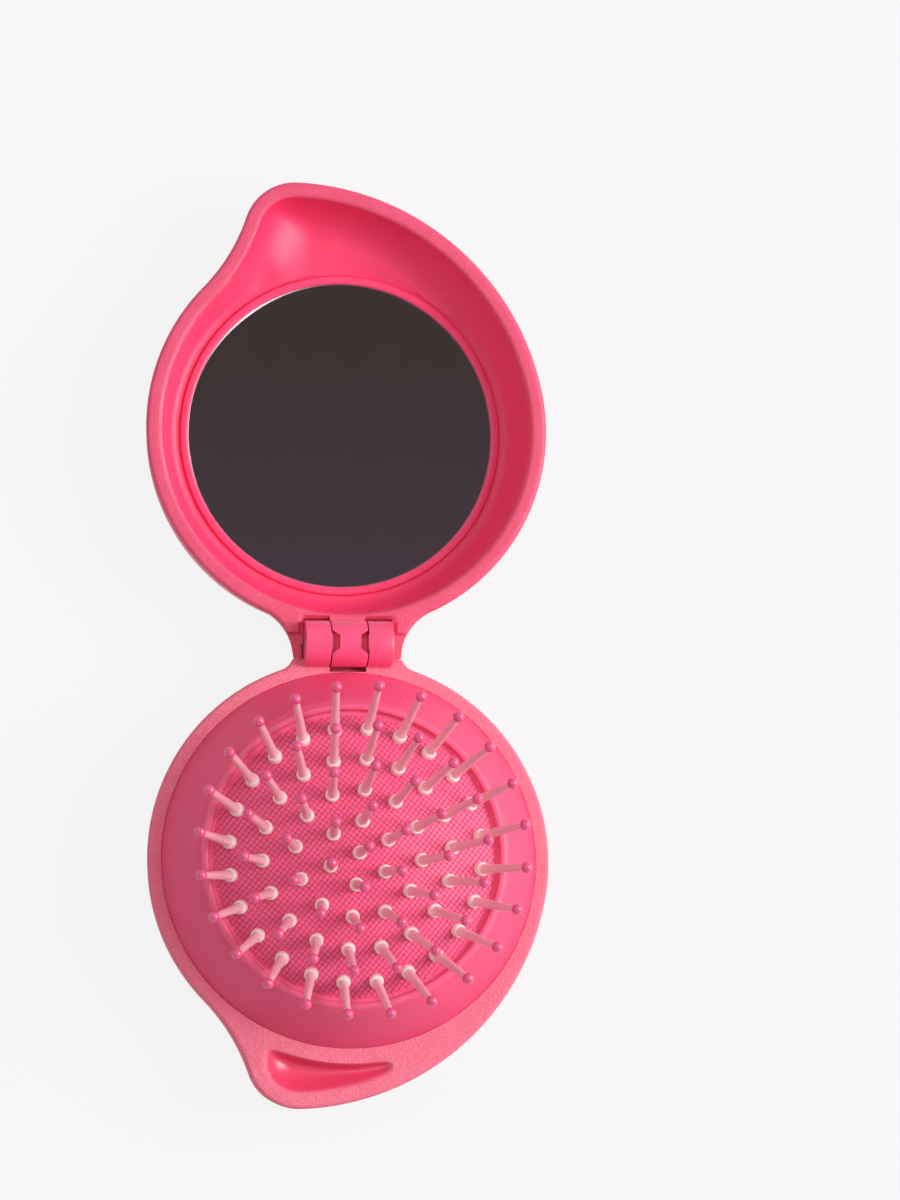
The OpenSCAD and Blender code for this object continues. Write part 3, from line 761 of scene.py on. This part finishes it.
flange = {
    "openingR": 35.6, "innerEdge": 0.1, "lineShare": 0.9, "spread": 0.3, "boss": 0.9,
    "recessIn": 38.4, "recessInset": 2.6, "recessPower": 14, "deep": 3.1, "brimPower": 1.6,
    "innerBrim": 0.75, "outerBrim": 2.7, "rightBrim": 0.8, "leftBrim": 2.6,
    "markIn": 1.0, "markOut": 0.5, "markFrom": 0.05, "markFade": 0.5,
}
outward = [0.16, 0.32, 0.48, 0.62, 0.74, 0.83, 0.9, 0.96, 1]
flangeLines = [-p for p in reversed(outward)] + [0] + outward


def recessPlace(angle):
    start, stop = case["recessFrom"], case["recessTo"]
    return (2 * angle - start - stop) / (stop - start)


def recessFull(u):
    return math.sqrt(max(0.0, 1 - u ** flange["recessPower"]))


def lineReach(angle, p):
    # where a line along the flange lies: in the thumb recess they close in on its outline
    f = flange
    low = f["openingR"] + f["innerEdge"]
    high = caseReach(angle, case["rimEdge"], baseNeck)
    u = recessPlace(angle)
    if abs(u) < 1:
        outer = bodyReach(angle, f["recessInset"])
        return (f["recessIn"] + outer) / 2 + p * max(hair, (outer - f["recessIn"]) / 2 * recessFull(u))
    end = case["recessTo"] if u > 0 else case["recessFrom"]
    middle = (f["recessIn"] + bodyReach(end, f["recessInset"])) / 2
    t = ease(clamp((abs(u) - 1) / f["spread"]))
    return mix(middle, (low + high) / 2, t) + p * mix(hair, (high - low) / 2 * f["lineShare"], t)


def recessDepth(angle, p):
    # steep from the inner edge and the ends, with a long slope up to the outer edge
    f, u = flange, recessPlace(angle)
    if abs(u) >= 1 or abs(p) >= 1:
        return 0.0
    halfWide = (bodyReach(angle, f["recessInset"]) - f["recessIn"]) / 2 * recessFull(u)
    ends = (1 - abs(u)) * math.radians(case["recessTo"] - case["recessFrom"]) / 2 * f["recessIn"]
    depth = f["deep"]
    for distance, brim in (((1 + p) * halfWide, f["innerBrim"]), ((1 - p) * halfWide, f["outerBrim"]),
                           (ends, f["leftBrim" if u > 0 else "rightBrim"])):
        depth *= 1 - math.exp(-(distance / brim) ** f["brimPower"])
    return depth


def lineRing(p, under=False):
    ring = []
    for angle in outlineAngles:
        reach = lineReach(angle, p)
        z = case["rimZ"] - recessDepth(angle, p)
        if under:
            z = min(case["plateZ"], z - flange["boss"])
            reach = min(reach, bodyReach(angle, case["wall"]) - hair * (2 - p))
        ring.append(spotAt(angle, reach, z))
    return ring


def makeBaseFront():
    h, f = hinge, flange
    edge = f["innerEdge"]
    rings = [roundRing(f["openingR"], case["plateZ"])]
    rings += [roundRing(f["openingR"] + edge * (1 - math.cos(t)), case["rimZ"] - edge * (1 - math.sin(t)))
              for t in quarter(4)]
    rings += [lineRing(p) for p in flangeLines]
    rings += rimRings(baseNeck)[::-1] + skirtRings(baseNeck)[::-1]
    rings += [outlineRing(case["wall"], case["seamZ"]), outlineRing(case["wall"], case["plateZ"])]
    rings += [lineRing(p, True) for p in reversed(flangeLines[::2])]
    front = loft("baseFront", [half(ring, False) for ring in rings], closed=True)
    paint(front, finish["frame"])
    shape(front, prism("clearance", bore(h["slotDeep"]), -h["slotX"], h["slotX"]), "DIFFERENCE")
    for knuckle in outerKnuckles():
        shape(front, knuckle, "UNION")

    def isGrained(spot):
        # 0 in the smooth thumb recess, 1 elsewhere
        fromMiddle = Vector((spot.x, -case["bodyY"] - spot.y))
        angle, out = polarAngle(fromMiddle), fromMiddle.length
        if abs(recessPlace(angle)) >= 1 or spot.z < case["seamZ"]:
            return 1
        if out < f["recessIn"] - f["markIn"] or out > bodyReach(angle, f["recessInset"] - f["markOut"]):
            return 1
        return fade(case["rimZ"] - spot.z, f["markFrom"], f["markFade"])

    markPart(front, isGrained)
    place(front, "base", "frame_pink", "base_frame")


makeBaseFront()
print("base front made")

pad = {
    "footR": 35.58, "footZ": 16.82, "topR": 29.6, "topZ": 25.15, "flushZ": 25.35, "thick": 1.0,
    "lipR": 29.1, "lipIn": 27.6, "grooveR": 27.9, "lipZ": 25.85, "lipEdge": 0.6, "lipLean": 0.35,
    "carrierZ": 21.95, "cushionZ": 24.35, "flangeZ": 23.35, "flangeR": 27.8, "flangeIn": 26.6,
    "domeR": 49.0, "domeEdge": 26.9, "domeUnder": 47.8, "underRs": (24, 12),
    "buttonR": 29.0, "buttonZ": 20.8, "buttonEdge": ((0.4, 0.0), (0.1, 0.1), (0.0, 0.4)),
    "hollowR": 18.0, "hollowEdge": ((0.0, 0.5), (0.2, 0.5), (1.4, 0.06), (1.8, 0.0)),
}
domeZ = pad["cushionZ"] - math.sqrt(pad["domeR"] ** 2 - pad["domeEdge"] ** 2)
padY = -case["bodyY"]


def makeMembrane():
    p, s, count = pad, baseShell, 24
    run, rise = p["footR"] - p["topR"], p["topZ"] - p["footZ"]
    slant = math.hypot(run, rise)
    shift = Vector((-rise, -run)) / slant * p["thick"]
    outer = [(p["footR"] - run * i / count, p["footZ"] + rise * i / count) for i in range(count - 1)]
    inner = [(r + shift.x, z + shift.y) for r, z in outer if r + shift.x > p["lipR"]]
    start, corner, stop = Vector(outer[-1]), Vector((p["topR"], p["topZ"])), Vector((p["lipR"], p["flushZ"]))
    crown = [tuple(bend(start, corner, stop, i / 6)) for i in range(1, 7)]
    seat = case["plateZ"] - hair
    section = [(s["wellOut"], s["beadZ"]), (s["wellOut"], seat), (p["footR"], seat)]
    section += outer + crown + [(p["lipR"], inner[-1][1])]
    section += inner[::-1] + [(inner[0][0], s["beadZ"])]
    membrane = lathe("popMembrane", section, padY)
    paint(membrane, finish["membrane"])
    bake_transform(membrane)
    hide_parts("pop_membrane")


def makePadRim():
    p = pad
    section = rounded([(p["grooveR"], p["carrierZ"], 0), (p["lipR"], p["carrierZ"], 0),
                       (p["lipR"], p["flushZ"], 0), (p["lipR"] - p["lipLean"], p["lipZ"], p["lipEdge"]),
                       (p["lipIn"], p["lipZ"], p["lipEdge"]),
                       (p["lipIn"], p["cushionZ"], 0), (p["grooveR"], p["cushionZ"], 0)], 6)
    rim = lathe("padRim", section, padY)
    paint(rim, finish["lip"])
    place(rim, "pad", "rim_pink", "pad_rim")


def makeButton():
    p = pad
    section = [(p["hollowR"] + out, p["buttonZ"] + up) for out, up in p["hollowEdge"]]
    section += [(p["buttonR"] - back, p["buttonZ"] + up) for back, up in p["buttonEdge"]]
    section += [(p["buttonR"], p["carrierZ"])]
    button = lathe("pushButton", section, padY, 180, closed=False)
    paint(button, finish["button"])
    place(button, "pad", "button_pink", "push_button")


weave = {"pitch": 0.84, "pad": 0.64, "angle": 52.0, "deep": 0.17, "cross": 0.12, "edge": 0.12}


def makeCushion():
    # a dome of small raised squares: three lines to a pitch, two on a square and one in a groove
    w, p = weave, pad
    lines = []
    count = math.ceil(p["domeEdge"] / w["pitch"]) + 1
    for k in range(-count, count):
        lines += [(k * w["pitch"], 1), (k * w["pitch"] + w["pad"], 1),
                  (k * w["pitch"] + (w["pitch"] + w["pad"]) / 2, 0)]
    turn, n = toward(w["angle"]), len(lines)
    work = bmesh.new()
    verts = {}

    def vertexAt(i, j):
        if (i, j) not in verts:
            (a, highA), (b, highB) = lines[i], lines[j]
            x, y = a * turn.x - b * turn.y, a * turn.y + b * turn.x
            r = math.hypot(x, y)
            drop = w["deep"] if not highB else (0 if highA else w["cross"])
            drop *= clamp((p["domeEdge"] - r) / w["edge"])
            z = domeZ + math.sqrt((p["domeR"] - drop) ** 2 - r ** 2)
            verts[i, j] = work.verts.new((x * mm, (padY + y) * mm, z * mm))
        return verts[i, j]

    limit = p["domeEdge"] - w["edge"]
    for i in range(n - 1):
        for j in range(n - 1):
            a, b = (lines[i][0] + lines[i + 1][0]) / 2, (lines[j][0] + lines[j + 1][0]) / 2
            if math.hypot(a, b) < limit:
                work.faces.new((vertexAt(i, j), vertexAt(i + 1, j), vertexAt(i + 1, j + 1),
                                vertexAt(i, j + 1)))
    edge = [e for e in work.edges if len(e.link_faces) == 1]
    below = [(p["flangeR"], p["cushionZ"]), (p["flangeR"], p["flangeZ"]), (p["flangeIn"], p["flangeZ"])]
    below += [(r, domeZ + math.sqrt(p["domeUnder"] ** 2 - r ** 2)) for r in p["underRs"]]
    spokes = {}
    for v in {v for e in edge for v in e.verts}:
        angle = math.atan2(v.co.y - padY * mm, v.co.x)
        v.co = Vector((p["domeEdge"] * math.cos(angle), padY + p["domeEdge"] * math.sin(angle),
                       p["cushionZ"])) * mm
        spokes[v] = [v] + [work.verts.new(Vector((r * math.cos(angle), padY + r * math.sin(angle), z)) * mm)
                           for r, z in below]
    middle = work.verts.new(Vector((0, padY, domeZ + p["domeUnder"])) * mm)
    for e in edge:
        a, b = (spokes[v] for v in e.verts)
        for k in range(len(a) - 1):
            work.faces.new((a[k], b[k], b[k + 1], a[k + 1]))
        work.faces.new((a[-1], b[-1], middle))
    cushion = addWork("padCushion", work, 30)
    domeC = Vector((0, padY, domeZ))
    # part falls to 0 down in the grooves, which take the darker colour: painted shade in the grooves
    markPart(cushion, lambda spot: fade(p["domeR"] - (spot - domeC).length, 0, w["deep"]))
    paint(cushion, finish["cushion"])
    place(cushion, "pad", "cushion_pink", "cushion")


makeMembrane()
makePadRim()
makeButton()
makeCushion()
print("pad made")

pins = {"rings": 4, "pitch": 5.93, "phase": 24.3, "flare": 1.6, "long": 14.3, "sides": 20,
        "shank": ((1.6, -2.1), (1.6, -1.3), (1.0, -1.3), (1.0, -0.15), (1.28, -0.15), (1.35, 0.1),
                  (1.35, 0.85), (1.3, 1.08), (1.18, 1.22), (1.0, 1.3), (0.93, 1.6), (0.86, 4.5),
                  (0.78, 8.0), (0.69, 11.0), (0.62, 13.6)),
        "collarZ": 1.5, "thick": 0.75, "thinning": 0.12, "ballR": 1.07, "ballRings": 12}


def pinTree():
    # sets out pins in rings round the first: ring k holds 6 k of them, from number 3 k (k - 1) + 1
    tree = bpy.data.node_groups.new("pinField", "GeometryNodeTree")
    face = tree.interface
    kinds = {"Geometry": "Geometry", "Piece": "Object", "Finish": "Material"}
    sizes = ("Rings", "Pitch", "Phase", "Flare", "Dome Radius", "Dome Middle", "Middle Y")
    for name in (*kinds, *sizes):
        face.new_socket(name, in_out="INPUT", socket_type="NodeSocket" + kinds.get(name, "Float"))
    face.new_socket("Geometry", in_out="OUTPUT", socket_type="NodeSocketGeometry")
    given = nodeOf(tree, "NodeGroupInput").outputs
    rings, domeRadius = given["Rings"], given["Dome Radius"]
    operations = ("ADD", "SUBTRACT", "MULTIPLY", "DIVIDE")
    add, less, times, over = (partial(calc, tree, operation) for operation in operations)

    # the ring that a pin belongs to, from its number
    index = nodeOf(tree, "GeometryNodeInputIndex").outputs[0]
    root = calc(tree, "SQRT", add(times(index, 4 / 3), 1))
    ring = calc(tree, "CEIL", less(times(less(root, 1), 0.5), 0.001))

    # its place on the dome, and how far it leans out
    first = add(times(times(ring, 3), less(ring, 1)), 1)
    share = over(less(index, first), calc(tree, "MAXIMUM", times(ring, 6), 1))
    turn = add(times(share, 2 * math.pi), given["Phase"])
    reach = times(ring, given["Pitch"])
    height = calc(tree, "SQRT", less(times(domeRadius, domeRadius), times(reach, reach)))
    flare = times(calc(tree, "POWER", over(ring, rings), 4), given["Flare"])
    lean = add(calc(tree, "ARCSINE", over(reach, domeRadius)), flare)
    spot = nodeOf(tree, "ShaderNodeCombineXYZ", {
        "X": times(reach, calc(tree, "COSINE", turn)),
        "Y": add(times(reach, calc(tree, "SINE", turn)), given["Middle Y"]),
        "Z": add(height, given["Dome Middle"])})
    euler = nodeOf(tree, "ShaderNodeCombineXYZ", {"Y": lean, "Z": turn})
    rotation = nodeOf(tree, "FunctionNodeEulerToRotation", {0: euler.outputs[0]})

    # a copy of the piece on a point for each pin
    total = add(times(times(rings, 3), add(rings, 1)), 1)
    row = nodeOf(tree, "GeometryNodeMeshLine", {"Count": total})
    move = nodeOf(tree, "GeometryNodeSetPosition", {"Geometry": row.outputs[0], "Position": spot.outputs[0]})
    piece = nodeOf(tree, "GeometryNodeObjectInfo", {"Object": given["Piece"]})
    copies = nodeOf(tree, "GeometryNodeInstanceOnPoints", {
        "Points": move.outputs[0], "Instance": piece.outputs["Geometry"], "Rotation": rotation.outputs[0]})
    solid = nodeOf(tree, "GeometryNodeRealizeInstances", {0: copies.outputs[0]})
    painted = nodeOf(tree, "GeometryNodeSetMaterial",
                     {"Geometry": solid.outputs[0], "Material": given["Finish"]})
    nodeOf(tree, "NodeGroupOutput", {"Geometry": painted.outputs[0]})
    return tree


def scatter(name, tree, template, material, slot, *nodes):
    carrier = addObject(name, bpy.data.meshes.new(name))
    values = {"Piece": template, "Finish": material, "Rings": float(pins["rings"]),
              "Pitch": pins["pitch"] * mm, "Phase": math.radians(pins["phase"]),
              "Flare": math.radians(pins["flare"]), "Dome Radius": pad["domeR"] * mm,
              "Dome Middle": domeZ * mm, "Middle Y": padY * mm}
    field = carrier.modifiers.new("field", "NODES")
    field.node_group = tree
    for item in tree.interface.items_tree:
        if item.in_out == "INPUT" and item.name in values:
            field[item.identifier] = values[item.name]
    mesh = meshNow(carrier)
    carrier.modifiers.remove(field)
    carrier.data = mesh
    bpy.data.objects.remove(template)
    place(carrier, "pad", slot, *nodes)


def makePins():
    tree = pinTree()
    rings = range(1, pins["rings"] + 1)
    shank = lathe("pinShape", pins["shank"], 0, pins["sides"], closed=False)
    markPart(shank, lambda spot: 1 if spot.z < pins["collarZ"]
             else max(0, pins["thick"] - spot.z * pins["thinning"]))
    scatter("nylonPins", tree, shank, finish["pin"], "pin_nylon", "pin_middle",
            *[f"pins_ring_{k}" for k in rings])
    r, n, middleZ = pins["ballR"], pins["ballRings"], pins["long"]
    section = [(r * math.sin(math.pi * i / n), middleZ - r * math.cos(math.pi * i / n))
               for i in range(1, n)]
    ball = lathe("ballShape", [(hair, middleZ - r)] + section + [(hair, middleZ + r)], 0,
                 pins["sides"], closed=False, smoothAngle=80)
    scatter("ballTips", tree, ball, finish["ball"], "tip_magenta", "tip_middle",
            *[f"tips_ring_{k}" for k in rings])


makePins()
print("pins made")

# the CAD pieces that keep their own mesh
for node, look in (("hinge_pin", "steel"), ("mirror_adhesive", "adhesive"), ("carrier_disc", "carrier")):
    paint(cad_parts[node], finish[look])

studio = {
    "floorSize": 8.0, "floorZ": -0.00005, "floorColour": (0.8, 0.8, 0.8), "floorShown": (0.055, 0.872),
    "keyPlace": (0.92, 0.08, 0.82), "keySize": (0.7, 0.7), "keyPower": 15.8,
    "fillPlace": (-0.5, 0.3, 1.4), "fillSize": (1.0, 1.0), "fillPower": 4.7, "aim": (0, 0, 0.015),
    "ambient": 0.35, "horizon": 0.85, "warm": (0.05, 0.036, 0.033), "cool": (0.08, 0.054, 0.08),
    "overheadFrom": (0.75, 0.93), "coolFrom": (0.092, 0.128), "shown": 0.94,
}


def makeFloor():
    s, z = studio["floorSize"] / 2, studio["floorZ"]
    mesh = bpy.data.meshes.new("floor")
    mesh.from_pydata([(-s, -s, z), (s, -s, z), (s, s, z), (-s, s, z)], [], [(0, 1, 2, 3)])
    floor = addObject("floor", mesh)
    material = bpy.data.materials.new("floor")
    tree = emptyTree(material)
    lit, glow = studio["floorShown"]
    plain = nodeOf(tree, "ShaderNodeBsdfDiffuse", {"Color": (*studio["floorColour"], 1)})
    faint = nodeOf(tree, "ShaderNodeBsdfDiffuse", {"Color": (lit, lit, lit, 1)})
    shine = nodeOf(tree, "ShaderNodeEmission", {"Color": (glow, glow, glow, 1)})
    both = nodeOf(tree, "ShaderNodeAddShader", {0: faint.outputs[0], 1: shine.outputs[0]})
    choose = nodeOf(tree, "ShaderNodeMixShader",
                    {0: seenRay(tree), 1: plain.outputs[0], 2: both.outputs[0]})
    nodeOf(tree, "ShaderNodeOutputMaterial", {"Surface": choose.outputs[0]})
    paint(floor, material)


def seenRay(tree):
    # 1 for rays that come from the camera, straight or by way of gloss or glass
    path = nodeOf(tree, "ShaderNodeLightPath").outputs
    seen = calc(tree, "MAXIMUM", path["Is Camera Ray"], path["Is Glossy Ray"])
    return calc(tree, "MAXIMUM", seen, path["Is Transmission Ray"])


def makeWorld():
    # even light all round; what gloss sees is pale at the horizon and dark overhead
    world = bpy.data.worlds.new("studio")
    bpy.context.scene.world = world
    tree = emptyTree(world)
    coords = nodeOf(tree, "ShaderNodeTexCoord")
    split = nodeOf(tree, "ShaderNodeSeparateXYZ", {0: coords.outputs["Generated"]})
    up = remap(tree, split.outputs["Z"], *studio["overheadFrom"], interpolation_type="SMOOTHSTEP")
    across = remap(tree, split.outputs["Y"], *studio["coolFrom"], 1, 0)
    overhead = mixColour(tree, across, studio["warm"], studio["cool"])
    room = mixColour(tree, up, (studio["horizon"],) * 3, overhead)
    path = nodeOf(tree, "ShaderNodeLightPath").outputs
    lit = mixColour(tree, path["Is Glossy Ray"], (studio["ambient"],) * 3, room)
    seen = mixColour(tree, path["Is Camera Ray"], lit, (studio["shown"],) * 3)
    back = nodeOf(tree, "ShaderNodeBackground", {"Color": seen})
    nodeOf(tree, "ShaderNodeOutputWorld", {"Surface": back.outputs[0]})


def makeLamp(name):
    where = Vector(studio[name + "Place"])
    light = bpy.data.lights.new(name, "AREA")
    light.shape = "RECTANGLE"
    light.size, light.size_y = studio[name + "Size"]
    light.energy = studio[name + "Power"]
    lamp = addObject(name, light)
    lamp.location = where
    lamp.rotation_euler = (Vector(studio["aim"]) - where).to_track_quat("-Z", "Y").to_euler()


view = {"lean": (-0.1389, -0.1098, 1.0), "distance": 2.5, "aim": (0.02006, 0.009, 0.013),
        "tall": 0.22748, "roll": -0.0046, "clip": (0.01, 20)}


def makeCamera():
    data = bpy.data.cameras.new("camera")
    camera = addObject("camera", data)
    back = Vector(view["lean"]).normalized()
    across = Vector((0, 1, 0)).cross(back).normalized()
    upward = back.cross(across)
    turned = Matrix((across, upward, back)).transposed() @ Matrix.Rotation(view["roll"], 3, "Z")
    camera.matrix_world = (Matrix.Translation(Vector(view["aim"]) + back * view["distance"])
                           @ turned.to_4x4())
    data.sensor_width = 36
    data.lens = data.sensor_width / 2 / (view["tall"] / 2 / view["distance"])
    data.clip_start, data.clip_end = view["clip"]
    bpy.context.scene.camera = camera


makeFloor()
makeWorld()
makeLamp("key")
makeLamp("fill")
makeCamera()
bpy.context.scene.view_settings.view_transform = "Standard"
print("studio made")
